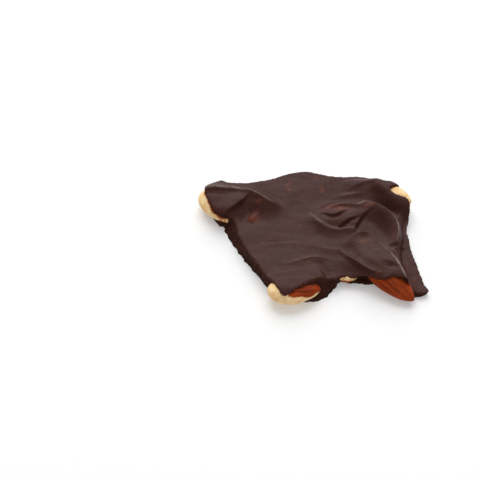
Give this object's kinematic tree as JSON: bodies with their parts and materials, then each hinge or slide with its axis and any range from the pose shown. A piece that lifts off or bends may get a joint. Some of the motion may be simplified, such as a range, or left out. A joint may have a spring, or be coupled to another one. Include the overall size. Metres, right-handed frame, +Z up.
{
  "type": "chocolate bark",
  "caption": "Flat piece of dark chocolate bark with whole almonds set in its snapped edges and a poured top drawn into soft folds.",
  "frame": {"origin": "middle of the piece's box, on its flat underside", "axes": "+X to the right along the longest side, +Y to the back edge, +Z up through the thickness, out of the poured top"},
  "size_m": [0.0912, 0.0735, 0.0112],
  "materials": {
    "dark_chocolate": "dark chocolate, poured top with a soft satin sheen, dull where it is snapped",
    "almond_skin": "dry red-brown roasted almond skin",
    "almond_flesh": "pale cream almond with its skin rubbed off"
  },
  "bodies": {
    "root": {"chocolate": "dark_chocolate", "almond_left": "almond_flesh", "almond_front_left": "almond_skin", "almond_chip": "almond_flesh", "almond_front_right": "almond_skin", "almond_back_right": "almond_flesh"}
  },
  "joints": []
}
